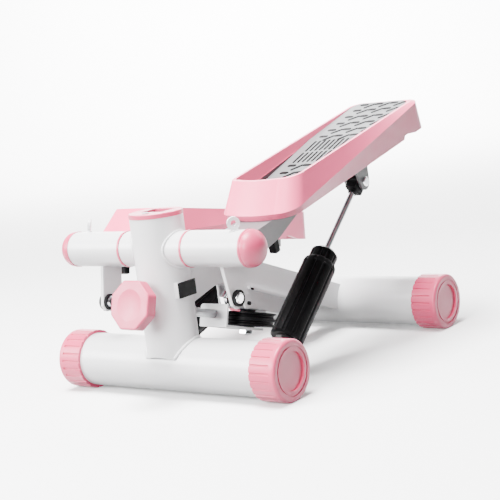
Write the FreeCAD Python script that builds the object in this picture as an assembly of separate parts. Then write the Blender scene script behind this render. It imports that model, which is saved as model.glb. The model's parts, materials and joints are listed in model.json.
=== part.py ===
import FreeCAD, Part
import math
import os

# Mini stepper: two coupled pedals with hydraulic dampers on a two-foot frame.
# Millimetres. +X is the machine's right side, +Y its rear, +Z up.
# The origin is on the floor, under the middle of the machine's box.

V = FreeCAD.Vector
X_AXIS = V(1, 0, 0)
Y_AXIS = V(0, 1, 0)
Z_AXIS = V(0, 0, 1)

# ---------------------------------------------------------------- driving dimensions

# feet
FRONT_Y = -145.0          # front foot tube's axis
REAR_Y = 179.0            # rear foot tube's axis
FOOT_Z = 33.0             # height of both foot tubes' axes
FOOT_TUBE_R = 30.0
TUBE_WALL = 2.5
FRONT_HALF_WIDTH = 155.0  # to the outer face of the front end caps
REAR_HALF_WIDTH = 160.0
CAP_LENGTH = 32.5
CAP_R = 33.5
CAP_END = 5.0             # thickness of a cap's closed end
CAP_FLUTES = 24
CAP_FLUTE_R = 1.3
CAP_RECESS_R = 21.2
CAP_RECESS_DEPTH = 2.5

# pivot, column and beam
PIVOT_Y = -151.0
PIVOT_Z = 163.5
AXLE_R = 8.0
AXLE_HALF = 133.0
DOME_R = 20.0             # domed caps on the axle's ends
DOME_DEPTH = 14.5
CROSS_R = 19.5            # centre tube and both pedal sleeves
CROSS_HALF = 43.0
COLUMN_Y = -150.0
COLUMN_R = 29.5
COLUMN_FOOT = 44.0
COLUMN_TOP = 200.0
BEZEL_TOP = 205.0
BEAM_HALF_WIDTH = 18.0
BEAM_SLOPE = 0.385        # fall towards the rear, per unit of Y
BEAM_TOP_AT_ORIGIN = 118.4
BEAM_DEPTH = 35.0         # measured upright
LIP_HALF_WIDTH = 24.0
LIP_THICKNESS = 3.5
LIP_Y = (-33.0, 95.0)
SIDE_PLATE_X = (17.0, 19.5)
SIDE_PLATE_LOW = [(-40.0, 72.0), (-24.0, 68.0), (15.0, 53.7), (45.0, 44.5)]

# pedals, in a frame with its origin on the pivot, Y along the pedal and Z square to it
RIGHT_REST_DEG = 12.0
LEFT_REST_DEG = -10.3
SLEEVE_START = 46.0
SLEEVE_END = 122.0
BUSH_R = 16.7
BUSH_LENGTH = 14.0
BUSH_FLANGE = 2.5
BUSH_FLANGE_R = 20.2
RUNNING_GAP = 0.05
SIDE_GAP = 0.4
ARM_X = (70.0, 116.0)
ARM_SHEET = 3.0
ARM_END = 318.0
PEDAL_X = (50.0, 146.0)
PEDAL_FRONT = 54.0
PEDAL_REAR = 366.0
RIM_REAR = 348.0
SHARP_CORNER = 10.0       # front corner on the machine's left side of either tray
SOFT_CORNER = 24.0        # the other front corner
PEDAL_BOTTOM = 8.5
PEDAL_RIM = 47.0
PAD_THICKNESS = 2.5
LEVER_X = (81.0, 85.0)
LEVER_BOLT = (5.0, -59.5)
LEVER_BOLT_R = 5.0
HOOK_X = 108.5
HOOK_DEG = 85.0           # place round the sleeve, from the pedal's length
HOOK_HOLE_R = 3.25
HOOK_RING_R = 6.75
HOOK_THICKNESS = 3.5
HOOK_TWIST_DEG = 50.0     # turns the eye's hole outwards
HOOK_CENTRE = 27.5        # distance of the eye's hole from the pivot
BUMPER_Y = (55.0, 63.0)
BUMPER_X = (103.0, 112.0)
BUMPER_BOTTOM = -30.0
BOLT_Y = (112.0, 300.0)   # bolts that hold the tray to the arm
BOLT_SPREAD = 14.0        # each side of the arm's middle

# dampers
DAMPER_X = 87.0
DAMPER_FOOT = (-78.0, 27.0)      # lower pin: Y, Z
DAMPER_TOP = (270.1, -27.9)      # upper pin, in the pedal's frame
DAMPER_PIN_R = 4.0
DAMPER_EYE_PLAY = 2.6            # radial room round the upper pin
EAR_GAP = 8.0                    # from the damper's middle to an ear's inner face
EAR_SHEET = 3.0
EAR_R = 10.0
BARREL_START = 22.0
BARREL_END = 149.0
BARREL_R = 12.0
BARREL_BORE = 10.0
COVER_R = 19.5
COVER_HEAD_R = 16.0              # narrower head of the cover
COVER_STEP = (125.0, 132.0)      # cone between the two, along the damper
COVER_FLUTES = 10
ROD_R = 3.6
ROD_LENGTH = 160.0

# step height adjustment: knob, screw, rope pulley and its carrier
SCREW_TILT_DEG = 17.0
PULLEY_Y = -15.0
PULLEY_Z = 52.0
PULLEY_R = 34.0
PULLEY_HALF = 8.0
GROOVE_R = 31.0
GROOVE_OFFSET = 3.9
ROPE_R = 2.0
SCREW_R = 5.0
SCREW_RISE = 2.5                 # screw above the pulley's middle plane
KNOB_FACE = -205.5               # along the screw, from the pulley's axis
KNOB_THICKNESS = 13.0
KNOB_R = 28.5
CARRIER_WEB = -62.0
CARRIER_HALF_WIDTH = 19.6
CARRIER_LOW = -12.2
CARRIER_HIGH = 14.0
CARRIER_SHEET = 2.4
SCREW_GUIDE_R = 8.0
GUIDE_RANGE = (-186.0, -102.0)

# stub on the column's right side
STUB_END = 31.0
STUB_Y = (-165.0, -137.0)
STUB_Z = (111.5, 128.5)

# display on the column
BEZEL_RIM = 0.4
WINDOW_X = (-15.0, 15.0)
WINDOW_Y = (COLUMN_Y - 7.0, COLUMN_Y + 17.0)
WINDOW_FLOOR = BEZEL_TOP - 3.0
LENS_THICKNESS = 1.5
BUTTON_Y = COLUMN_Y - 16.0
BUTTON_R = 4.0
BUTTON_TRAVEL = 1.2

# tray surfaces, in the pedal's frame
FLOOR_SLOPE_DEG = 3.6
FLOOR_REAR_Y = 346.0
LEDGE_FRONT = (81.0, 29.0)       # foot of the sloping inner wall, at the front: Y, Z
FLOOR = [(81.6, 18.0), (235.0, 38.2), (345.4, 45.2)]   # underside of the pad: Y, Z
CEILING_FRONT = (74.0, 15.0)     # hollow under the tray
CEILING_SLOPE_DEG = 5.6
BOLT_DEPTH = 8.0
WIDEST_FRONT_Z = 16.0
WIDEST_SLOPE_DEG = 5.6
RIM_INSET = 5.0
RIM_FRONT = 77.0
TRAY_NOTCH = [(309.0, 7.0), (311.5, 13.0), (318.0, 13.0), (345.0, 7.0)]


# ---------------------------------------------------------------- helpers

def box(x, y, z):
    """A block given by its (low, high) range along each axis."""
    return Part.makeBox(x[1] - x[0], y[1] - y[0], z[1] - z[0], V(x[0], y[0], z[0]))


def rod(start, end, radius):
    """A round bar from one point to another."""
    return Part.makeCylinder(radius, (end - start).Length, start, end - start)


def x_rod(x, y, z, radius):
    """A round bar along X over the (low, high) range x."""
    return Part.makeCylinder(radius, x[1] - x[0], V(x[0], y, z), X_AXIS)


def x_tube(x, y, z, outer, inner):
    return x_rod(x, y, z, outer).cut(x_rod((x[0] - 1, x[1] + 1), y, z, inner))


def x_prism(outline, x):
    """A plate: a closed outline of (Y, Z) points, pushed along X."""
    points = [V(x[0], y, z) for y, z in outline]
    wire = Part.makePolygon(points + points[:1])
    return Part.Face(wire).extrude(V(x[1] - x[0], 0, 0))


def hexagon(across_flats, thickness, base, direction):
    radius = across_flats / math.sqrt(3)
    corners = []
    for i in range(6):
        angle = math.radians(60 * i)
        corners.append(V(radius * math.cos(angle), radius * math.sin(angle), 0))
    nut = Part.Face(Part.makePolygon(corners + corners[:1])).extrude(V(0, 0, thickness))
    nut.Placement = FreeCAD.Placement(base, FreeCAD.Rotation(Z_AXIS, direction))
    return nut


def fuse(shapes):
    whole = shapes[0]
    for shape in shapes[1:]:
        whole = whole.fuse(shape)
    return whole.removeSplitter()


def mirrored(shape):
    return shape.mirror(V(0, 0, 0), X_AXIS)


def both_sides(shape):
    """A right-hand shape and its mirror image, as separate solids."""
    return Part.makeCompound(shape.Solids + mirrored(shape).Solids)


def save(name, shape):
    """Write one node; several solids in one shape stay separate pieces."""
    solids = shape.Solids
    shape = solids[0] if len(solids) == 1 else Part.makeCompound(solids)
    shape.exportStep(os.path.join("parts", name + ".step"))


def on_pedal(shape, side):
    """Place a right-hand shape from the pedal's frame onto one side's pedal."""
    turned = shape.copy() if side == "right" else mirrored(shape)
    angle = RIGHT_REST_DEG if side == "right" else LEFT_REST_DEG
    turned.rotate(V(0, 0, 0), X_AXIS, angle)
    turned.translate(V(0, PIVOT_Y, PIVOT_Z))
    return turned


def pedal_point(y, z, side):
    """A (Y, Z) point of the pedal's frame, in the machine's frame."""
    angle = math.radians(RIGHT_REST_DEG if side == "right" else LEFT_REST_DEG)
    turned_y = y * math.cos(angle) - z * math.sin(angle)
    turned_z = y * math.sin(angle) + z * math.cos(angle)
    return PIVOT_Y + turned_y, PIVOT_Z + turned_z


# ---------------------------------------------------------------- frame

def foot_tube(y, half_width):
    reach = half_width - CAP_END
    return x_tube((-reach, reach), y, FOOT_Z, FOOT_TUBE_R, FOOT_TUBE_R - TUBE_WALL)


def end_cap(y, half_width):
    """Right-hand ribbed cap: closed outside, fluted barrel, flat under the foot."""
    inner = half_width - CAP_LENGTH
    barrel = x_rod((inner, half_width), y, FOOT_Z, CAP_R)
    outer_edges = [e for e in barrel.Edges if abs(e.CenterOfMass.x - half_width) < 0.1]
    barrel = barrel.makeFillet(3.2, outer_edges)
    flutes = []
    for i in range(CAP_FLUTES):
        angle = 2 * math.pi * (i + 0.5) / CAP_FLUTES
        flute_y = y + CAP_R * math.cos(angle)
        flute_z = FOOT_Z + CAP_R * math.sin(angle)
        flutes.append(x_rod((inner - 1, half_width - 7), flute_y, flute_z, CAP_FLUTE_R))
    barrel = barrel.cut(Part.makeCompound(flutes))
    barrel = barrel.cut(x_rod((inner - 1, half_width - CAP_END), y, FOOT_Z, FOOT_TUBE_R))
    face = (half_width - CAP_RECESS_DEPTH, half_width + 1)
    barrel = barrel.cut(x_rod(face, y, FOOT_Z, CAP_RECESS_R))
    ring = x_tube((half_width - 1.2, half_width + 1), y, FOOT_Z, 27.0, 25.0)
    barrel = barrel.cut(ring)
    under = box((0, 2 * half_width), (y - CAP_R, y + CAP_R), (-5, 0))
    return barrel.cut(under)


def beam_top(y):
    return BEAM_TOP_AT_ORIGIN - BEAM_SLOPE * y


def beam_bottom(y):
    return beam_top(y) - BEAM_DEPTH


def column_bar():
    return rod(V(0, COLUMN_Y, FOOT_Z), V(0, COLUMN_Y, BEZEL_TOP), COLUMN_R)


def rear_foot_bar():
    return x_rod((-100, 100), REAR_Y, FOOT_Z, FOOT_TUBE_R)


def screw_point(along, rise=SCREW_RISE, x=0.0):
    """A point in the screw's tilted frame: along it, and square above the pulley's plane."""
    tilt = math.radians(SCREW_TILT_DEG)
    y = PULLEY_Y + along * math.cos(tilt) + rise * math.sin(tilt)
    z = PULLEY_Z - along * math.sin(tilt) + rise * math.cos(tilt)
    return V(x, y, z)


def along_screw(shape):
    """Turn a shape from the pulley's own frame (Y along the screw) to the machine's."""
    tilted = shape.copy()
    tilted.rotate(V(0, 0, 0), X_AXIS, -SCREW_TILT_DEG)
    tilted.translate(V(0, PULLEY_Y, PULLEY_Z))
    return tilted


def stub_bar(x=(0.0, STUB_END), wall=0.0):
    y = (STUB_Y[0] + wall, STUB_Y[1] - wall)
    z = (STUB_Z[0] + wall, STUB_Z[1] - wall)
    return box(x, y, z)


def column():
    """Upright tube, saddled onto the front foot tube and cut back under its front."""
    inner = rod(V(0, COLUMN_Y, 0), V(0, COLUMN_Y, BEZEL_TOP), COLUMN_R - TUBE_WALL)
    tube = rod(V(0, COLUMN_Y, COLUMN_FOOT), V(0, COLUMN_Y, COLUMN_TOP), COLUMN_R).cut(inner)
    tube = tube.cut(x_rod((-60, 60), FRONT_Y, FOOT_Z, FOOT_TUBE_R))
    under = [(-190, 55.6), (-181, 50), (-165, 40), (-165, 30), (-190, 30)]
    tube = tube.cut(x_prism(under, (-60, 60)))
    tube = tube.cut(x_rod((-60, 60), PIVOT_Y, PIVOT_Z, CROSS_R))
    tube = tube.cut(stub_bar())
    tube = tube.cut(rod(screw_point(-200), screw_point(-80), SCREW_GUIDE_R))
    return max(tube.Solids, key=lambda solid: solid.Volume)


def cross_tube():
    shell = x_tube((-CROSS_HALF, CROSS_HALF), PIVOT_Y, PIVOT_Z, CROSS_R, CROSS_R - TUBE_WALL)
    discs = []
    for start in (-CROSS_HALF, CROSS_HALF - 5):
        discs.append(x_rod((start, start + 5), PIVOT_Y, PIVOT_Z, CROSS_R))
    whole = fuse([shell] + discs)
    return whole.cut(x_rod((-60, 60), PIVOT_Y, PIVOT_Z, AXLE_R))


def axle_shaft():
    return x_rod((-AXLE_HALF, AXLE_HALF), PIVOT_Y, PIVOT_Z, AXLE_R)


def axle_cap():
    """Right-hand domed cap on the axle's end: a short skirt under half an ellipsoid."""
    start = SLEEVE_END + BUSH_FLANGE + SIDE_GAP
    curve = Part.Ellipse(V(0, 0, 0), DOME_R, DOME_DEPTH)
    arc = Part.Arc(curve, 0, math.pi / 2).toShape()
    wire = Part.Wire([arc, Part.makeLine(V(0, DOME_DEPTH, 0), V(0, 0, 0)),
                      Part.makeLine(V(0, 0, 0), V(DOME_R, 0, 0))])
    dome = Part.Face(wire).revolve(V(0, 0, 0), Y_AXIS, 360)
    dome.rotate(V(0, 0, 0), Z_AXIS, -90)
    dome.translate(V(start + 1.0, PIVOT_Y, PIVOT_Z))
    skirt = x_rod((start, start + 1.0), PIVOT_Y, PIVOT_Z, DOME_R)
    cap = fuse([skirt, dome])
    return cap.cut(x_rod((start - 1, AXLE_HALF), PIVOT_Y, PIVOT_Z, AXLE_R))


def main_beam():
    start, end = PIVOT_Y, REAR_Y
    wall = TUBE_WALL
    outer = [(start, beam_top(start)), (end, beam_top(end)),
             (end, beam_bottom(end)), (start, beam_bottom(start))]
    inner = [(start, beam_top(start) - wall), (end, beam_top(end) - wall),
             (end, beam_bottom(end) + wall), (start, beam_bottom(start) + wall)]
    half = BEAM_HALF_WIDTH
    beam = x_prism(outer, (-half, half)).cut(x_prism(inner, (wall - half, half - wall)))
    beam = beam.cut(column_bar()).cut(rear_foot_bar())
    return max(beam.Solids, key=lambda solid: solid.Volume)


def lip_bar():
    start, end = LIP_Y
    outline = [(start, beam_bottom(start)), (end, beam_bottom(end)),
               (end, beam_bottom(end) - LIP_THICKNESS),
               (start, beam_bottom(start) - LIP_THICKNESS)]
    return x_prism(outline, (-LIP_HALF_WIDTH, LIP_HALF_WIDTH))


def side_plates():
    """A plate under each side of the beam, beside the rope pulley's top."""
    start, end = SIDE_PLATE_LOW[0][0], SIDE_PLATE_LOW[-1][0]
    outline = SIDE_PLATE_LOW + [(end, beam_bottom(end)), (start, beam_bottom(start))]
    plate = x_prism(outline, SIDE_PLATE_X).cut(lip_bar())
    plate = max(plate.Solids, key=lambda solid: solid.Volume)
    return both_sides(plate)


def neck_gussets():
    """Two plates that carry the beam's underside down onto the column."""
    end = -66.0
    outline = [(PIVOT_Y, 93.0), (-88.0, 109.0), (end, beam_bottom(end)),
               (PIVOT_Y, beam_bottom(PIVOT_Y))]
    inner = BEAM_HALF_WIDTH - TUBE_WALL
    plate = x_prism(outline, (inner, BEAM_HALF_WIDTH)).cut(column_bar())
    plate = max(plate.Solids, key=lambda solid: solid.Volume)
    return both_sides(plate)


def side_stub():
    return stub_bar().cut(stub_bar((-1.0, STUB_END + 1.0), 2.0))


def stub_plug():
    inside = stub_bar((STUB_END - 10, STUB_END), 2.0)
    cover = stub_bar((STUB_END, STUB_END + 1.5))
    return fuse([inside, cover])


def damper_bracket():
    """Right-hand pair of plates behind the front foot, round the damper's lower pin."""
    y, z = DAMPER_FOOT
    plates = []
    for side in (-1, 1):
        inner = DAMPER_X + side * EAR_GAP
        outer = DAMPER_X + side * (EAR_GAP + EAR_SHEET)
        x = (min(inner, outer), max(inner, outer))
        web = x_prism([(FRONT_Y, z - EAR_R), (y, z - EAR_R), (y, z + EAR_R),
                       (FRONT_Y, z + 2.2 * EAR_R)], x)
        plate = fuse([web, x_rod(x, y, z, EAR_R)])
        plate = plate.cut(x_rod((0, 200), FRONT_Y, FOOT_Z, FOOT_TUBE_R))
        plate = plate.cut(x_rod((0, 200), y, z, DAMPER_PIN_R))
        plates.append(max(plate.Solids, key=lambda solid: solid.Volume))
    return Part.makeCompound(plates)


def clevis_pin(x, y, z):
    """A pin across two plates, with a head on each end."""
    reach = EAR_GAP + EAR_SHEET
    shank = x_rod((x - reach - 1, x + reach + 1), y, z, DAMPER_PIN_R)
    heads = []
    for side in (-1, 1):
        face = x + side * reach
        head = (min(face, face + side * 3), max(face, face + side * 3))
        bar = x_rod(head, y, z, 6.0)
        rim = [e for e in bar.Edges if abs(e.CenterOfMass.x - face - side * 3) < 0.1]
        heads.append(bar.makeFillet(1.8, rim))
    return fuse([shank] + heads)


def damper_lower_pins():
    y, z = DAMPER_FOOT
    return both_sides(clevis_pin(DAMPER_X, y, z))


# ---------------------------------------------------------------- display on the column

def display_bezel():
    radius = COLUMN_R + BEZEL_RIM
    top = rod(V(0, COLUMN_Y, COLUMN_TOP), V(0, COLUMN_Y, BEZEL_TOP), radius)
    upper = [e for e in top.Edges if abs(e.CenterOfMass.z - BEZEL_TOP) < 0.1]
    top = top.makeFillet(1.2, upper)
    spigot = rod(V(0, COLUMN_Y, COLUMN_TOP - 12), V(0, COLUMN_Y, COLUMN_TOP),
                 COLUMN_R - TUBE_WALL)
    bezel = fuse([top, spigot])
    hollow = rod(V(0, COLUMN_Y, COLUMN_TOP - 13), V(0, COLUMN_Y, COLUMN_TOP - 1), 24.5)
    window = box(WINDOW_X, WINDOW_Y, (COLUMN_TOP - 2, BEZEL_TOP + 1))
    button = rod(V(0, BUTTON_Y, COLUMN_TOP - 2), V(0, BUTTON_Y, BEZEL_TOP + 1),
                 BUTTON_R + RUNNING_GAP)
    return bezel.cut(hollow).cut(window).cut(button)


def display_lens():
    return box(WINDOW_X, WINDOW_Y, (WINDOW_FLOOR - LENS_THICKNESS, WINDOW_FLOOR))


def display_module():
    """The counter's case, hung inside the bezel under the lens."""
    x = (WINDOW_X[0] + 0.5, WINDOW_X[1] - 0.5)
    y = (WINDOW_Y[0] + 0.5, WINDOW_Y[1] - 2.5)
    return box(x, y, (COLUMN_TOP - 10, WINDOW_FLOOR - LENS_THICKNESS))


def display_button():
    top = BEZEL_TOP + 1.0
    cap = rod(V(0, BUTTON_Y, COLUMN_TOP - 0.4), V(0, BUTTON_Y, top), BUTTON_R)
    upper = [e for e in cap.Edges if abs(e.CenterOfMass.z - top) < 0.1]
    cap = cap.makeFillet(0.8, upper)
    collar = rod(V(0, BUTTON_Y, COLUMN_TOP - 2.2), V(0, BUTTON_Y, COLUMN_TOP - 1.2), 5.5)
    neck = rod(V(0, BUTTON_Y, COLUMN_TOP - 1.2), V(0, BUTTON_Y, COLUMN_TOP), BUTTON_R)
    return fuse([cap, neck, collar])


# ---------------------------------------------------------------- step height adjustment

def knob():
    """Eight-sided knob with rounded corners and a shallow dish in its face."""
    corners = []
    for i in range(8):
        angle = math.radians(45 * i + 22.5)
        corners.append(V(KNOB_R * math.cos(angle), 0, KNOB_R * math.sin(angle)))
    body = Part.Face(Part.makePolygon(corners + corners[:1]))
    body = body.extrude(V(0, KNOB_THICKNESS, 0))
    uprights = [e for e in body.Edges if abs(e.Length - KNOB_THICKNESS) < 0.01]
    body = body.makeFillet(6.0, uprights)
    front = [e for e in body.Edges if abs(e.CenterOfMass.y) < 0.01]
    body = body.makeFillet(2.0, front)
    dish = Part.makeSphere(120.0, V(0, 1.2 - 120.0, 0))
    body = body.cut(dish)
    bore = rod(V(0, 7, 0), V(0, KNOB_THICKNESS + 1, 0), SCREW_R)
    body = body.cut(bore)
    body.translate(V(0, KNOB_FACE, SCREW_RISE))
    return along_screw(body)


def adjusting_screw():
    return rod(screw_point(KNOB_FACE + 7), screw_point(CARRIER_WEB + 9), SCREW_R)


def screw_guide():
    """Tube welded through the column, which the screw turns in."""
    start, end = (screw_point(place) for place in GUIDE_RANGE)
    return rod(start, end, SCREW_GUIDE_R).cut(rod(start, end, SCREW_R + RUNNING_GAP))


def pulley_carrier():
    """Bent sheet yoke with the pulley between its two flanges."""
    low, high, sheet = CARRIER_LOW, CARRIER_HIGH, CARRIER_SHEET
    half = CARRIER_HALF_WIDTH
    web = box((-half, half), (CARRIER_WEB - sheet / 2, CARRIER_WEB + sheet / 2), (low, high))
    upright = [e for e in web.Edges if abs(e.Length - sheet) < 0.01]
    web = web.makeFillet(4.0, [e for e in upright if e.CenterOfMass.z > 0])
    bottom = box((-half, half), (CARRIER_WEB, 0), (low, low + sheet))
    bottom = bottom.fuse(Part.makeCylinder(half, sheet, V(0, 0, low), Z_AXIS))
    top = box((-11, 11), (CARRIER_WEB, 0), (high - sheet, high))
    top = top.fuse(Part.makeCylinder(11, sheet, V(0, 0, high - sheet), Z_AXIS))
    nut = hexagon(16, 6, V(0, CARRIER_WEB + sheet / 2, SCREW_RISE), Y_AXIS)
    yoke = fuse([web, bottom, top, nut])
    bore = rod(V(0, CARRIER_WEB - 5, SCREW_RISE), V(0, CARRIER_WEB + 15, SCREW_RISE),
               SCREW_R + RUNNING_GAP)
    pin_hole = rod(V(0, 0, -20), V(0, 0, 20), SCREW_R)
    return along_screw(yoke.cut(bore).cut(pin_hole))


def rope_pulley():
    wheel = Part.makeCylinder(PULLEY_R, 2 * PULLEY_HALF, V(0, 0, -PULLEY_HALF), Z_AXIS)
    for middle in (-GROOVE_OFFSET, GROOVE_OFFSET):
        groove = Part.makeTorus(GROOVE_R + ROPE_R, ROPE_R + 0.2, V(0, 0, middle), Z_AXIS)
        ring = Part.makeCylinder(PULLEY_R + 1, 2 * (ROPE_R + 0.2),
                                 V(0, 0, middle - ROPE_R - 0.2), Z_AXIS)
        ring = ring.cut(Part.makeCylinder(GROOVE_R + ROPE_R, 20, V(0, 0, -10), Z_AXIS))
        wheel = wheel.cut(groove).cut(ring)
    low = CARRIER_LOW + CARRIER_SHEET + 0.2
    high = CARRIER_HIGH - CARRIER_SHEET - 0.2
    wheel = fuse([wheel, Part.makeCylinder(9, high - low, V(0, 0, low), Z_AXIS)])
    bore = rod(V(0, 0, -20), V(0, 0, 20), SCREW_R + RUNNING_GAP)
    return along_screw(wheel.cut(bore))


def pulley_bolt():
    shank = rod(V(0, 0, CARRIER_LOW - 1), V(0, 0, CARRIER_HIGH + 1), SCREW_R)
    head = hexagon(15, 4.5, V(0, 0, CARRIER_LOW - 4.5), Z_AXIS)
    nut = hexagon(15, 4.5, V(0, 0, CARRIER_HIGH), Z_AXIS)
    tip = Part.makeSphere(8.0, V(0, 0, CARRIER_LOW + 1.0))
    tip = tip.common(box((-9, 9), (-9, 9), (CARRIER_LOW - 7.0, CARRIER_LOW - 4.0)))
    return along_screw(fuse([shank, head, tip, nut]))


# ---------------------------------------------------------------- pedals (right hand, pedal's frame)

def sleeve():
    return x_tube((SLEEVE_START, SLEEVE_END), 0, 0, CROSS_R, BUSH_R)


def sleeve_bushes():
    bushes = []
    inner_end = (SLEEVE_START - BUSH_FLANGE, SLEEVE_START)
    outer_end = (SLEEVE_END, SLEEVE_END + BUSH_FLANGE)
    for flange, barrel in ((inner_end, (SLEEVE_START, SLEEVE_START + BUSH_LENGTH)),
                           (outer_end, (SLEEVE_END - BUSH_LENGTH, SLEEVE_END))):
        bush = fuse([x_rod(flange, 0, 0, BUSH_FLANGE_R), x_rod(barrel, 0, 0, BUSH_R)])
        bushes.append(bush.cut(x_rod((0, 200), 0, 0, AXLE_R + RUNNING_GAP)))
    return Part.makeCompound(bushes)


def eye_hook():
    """Welded eye on the sleeve, its hole turned outwards, for a clipped-on pull cord."""
    half = HOOK_THICKNESS / 2
    middle = V(HOOK_X, 0, HOOK_CENTRE)
    along = V(0, half, 0)
    ring = rod(middle - along, middle + along, HOOK_RING_R)
    stem = box((HOOK_X - 4, HOOK_X + 4), (-half, half), (CROSS_R - 2, HOOK_CENTRE))
    hook = fuse([ring, stem])
    hook = hook.cut(rod(middle - 4 * along, middle + 4 * along, HOOK_HOLE_R))
    hook.rotate(middle, Z_AXIS, HOOK_TWIST_DEG)
    hook.rotate(V(0, 0, 0), X_AXIS, HOOK_DEG - 90.0)
    return hook.cut(x_rod((0, 200), 0, 0, CROSS_R))


def lever_plate():
    outline = [(-4.5, -10), (-4.5, -64), (0, -70), (18, -70), (25.5, -61), (25.5, -8)]
    plate = x_prism(outline, LEVER_X).cut(x_rod((0, 200), 0, 0, CROSS_R))
    plate = plate.cut(x_rod((0, 200), LEVER_BOLT[0], LEVER_BOLT[1], LEVER_BOLT_R))
    return max(plate.Solids, key=lambda solid: solid.Volume)


def lever_rings():
    rings = []
    for start in (LEVER_X[0] - 3.5, LEVER_X[1]):
        rings.append(x_tube((start, start + 3.5), LEVER_BOLT[0], LEVER_BOLT[1], 9.0, 6.8))
    return Part.makeCompound(rings)


def lever_bolt():
    y, z = LEVER_BOLT
    shank = x_rod((67.0, LEVER_X[1] + 3), y, z, LEVER_BOLT_R)
    head = x_rod((LEVER_X[1], LEVER_X[1] + 5), y, z, 6.5)
    rim = [e for e in head.Edges if abs(e.CenterOfMass.x - LEVER_X[1] - 5) < 0.1]
    head = head.makeFillet(2.5, rim)
    collar = x_rod((77.5, LEVER_X[0]), y, z, 6.5)
    nut = hexagon(14, 5, V(67.0, y, z), X_AXIS)
    return fuse([shank, head, collar, nut])


def pedal_arm():
    """Inverted channel from the sleeve back under the tray."""
    flange = [(4, PEDAL_BOTTOM), (ARM_END, PEDAL_BOTTOM), (ARM_END, -1), (104, -2),
              (62, -14), (30, -17), (4, -18)]
    inside = [(0, PEDAL_BOTTOM - ARM_SHEET), (ARM_END + 5, PEDAL_BOTTOM - ARM_SHEET),
              (ARM_END + 5, -40), (0, -40)]
    hollow = (ARM_X[0] + ARM_SHEET, ARM_X[1] - ARM_SHEET)
    channel = x_prism(flange, ARM_X).cut(x_prism(inside, hollow))
    channel = channel.cut(x_rod((0, 200), 0, 0, CROSS_R))
    for x, y in bolt_places():
        channel = channel.cut(rod(V(x, y, 0), V(x, y, 20), 3.0))
    return max(channel.Solids, key=lambda solid: solid.Volume)


def bolt_places():
    middle = (ARM_X[0] + ARM_X[1]) / 2
    return [(middle + side * BOLT_SPREAD, y) for y in BOLT_Y for side in (-1, 1)]


def tray_outline(x, y, corners, bow):
    """Closed wire in the XY plane: rounded corners and a front edge bowed forward."""
    (x0, x1), (y0, y1) = x, y
    left, right = corners
    rear = 0.7 * max(corners)
    keep = 1 - math.sqrt(0.5)
    edges = [
        Part.Arc(V(x0 + left, y0, 0), V((x0 + x1) / 2, y0 - bow, 0), V(x1 - right, y0, 0)),
        Part.Arc(V(x1 - right, y0, 0), V(x1 - right * keep, y0 + right * keep, 0),
                 V(x1, y0 + right, 0)),
        Part.LineSegment(V(x1, y0 + right, 0), V(x1, y1 - rear, 0)),
        Part.Arc(V(x1, y1 - rear, 0), V(x1 - rear * keep, y1 - rear * keep, 0),
                 V(x1 - rear, y1, 0)),
        Part.LineSegment(V(x1 - rear, y1, 0), V(x0 + rear, y1, 0)),
        Part.Arc(V(x0 + rear, y1, 0), V(x0 + rear * keep, y1 - rear * keep, 0),
                 V(x0, y1 - rear, 0)),
        Part.LineSegment(V(x0, y1 - rear, 0), V(x0, y0 + left, 0)),
        Part.Arc(V(x0, y0 + left, 0), V(x0 + left * keep, y0 + left * keep, 0),
                 V(x0 + left, y0, 0)),
    ]
    return Part.Wire([edge.toShape() for edge in edges])


def tray_section(side, inset, y, z, slope_deg=0.0, shrink=1.0, bow=3.5):
    """A tray outline set in from the pedal's sides, on a plane that rises to the rear.

    z is the plane's height at the section's front edge y[0]; shrink scales the corners.
    """
    x = (PEDAL_X[0] + inset, PEDAL_X[1] - inset)
    corners = (SHARP_CORNER * shrink, SOFT_CORNER * shrink)
    if side == "left":
        corners = corners[::-1]
    length = (y[1] - y[0]) / math.cos(math.radians(slope_deg))
    wire = tray_outline(x, (0, length), corners, bow)
    wire.rotate(V(0, 0, 0), X_AXIS, slope_deg)
    wire.translate(V(0, y[0], z))
    return wire


def ceiling(y):
    """Height of the hollow's roof under the tray."""
    slope = math.tan(math.radians(CEILING_SLOPE_DEG))
    return CEILING_FRONT[1] + (y - CEILING_FRONT[0]) * slope


def well_block(side, gap=0.0):
    """An upright block with the outline of the tray's floor."""
    y = (FLOOR[0][0] + gap, FLOOR[-1][0] - gap)
    wire = tray_section(side, RIM_INSET + 4.5 + gap, y, 0.0, 0.0, 0.72)
    return Part.Face(wire).extrude(V(0, 0, 90))


def run_past(start, end, extra):
    """The point a little beyond end, on the line from start."""
    scale = 1 + extra / abs(end[0] - start[0])
    return start[0] + (end[0] - start[0]) * scale, start[1] + (end[1] - start[1]) * scale


def floor_band(low, high):
    """Everything across the tray between two heights above the floor's bent line."""
    line = [run_past(FLOOR[1], FLOOR[0], 5.0), FLOOR[1], run_past(FLOOR[1], FLOOR[2], 5.0)]
    outline = [(y, z + low) for y, z in line] + [(y, z + high) for y, z in reversed(line)]
    return x_prism(outline, (0, 200))


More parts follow.
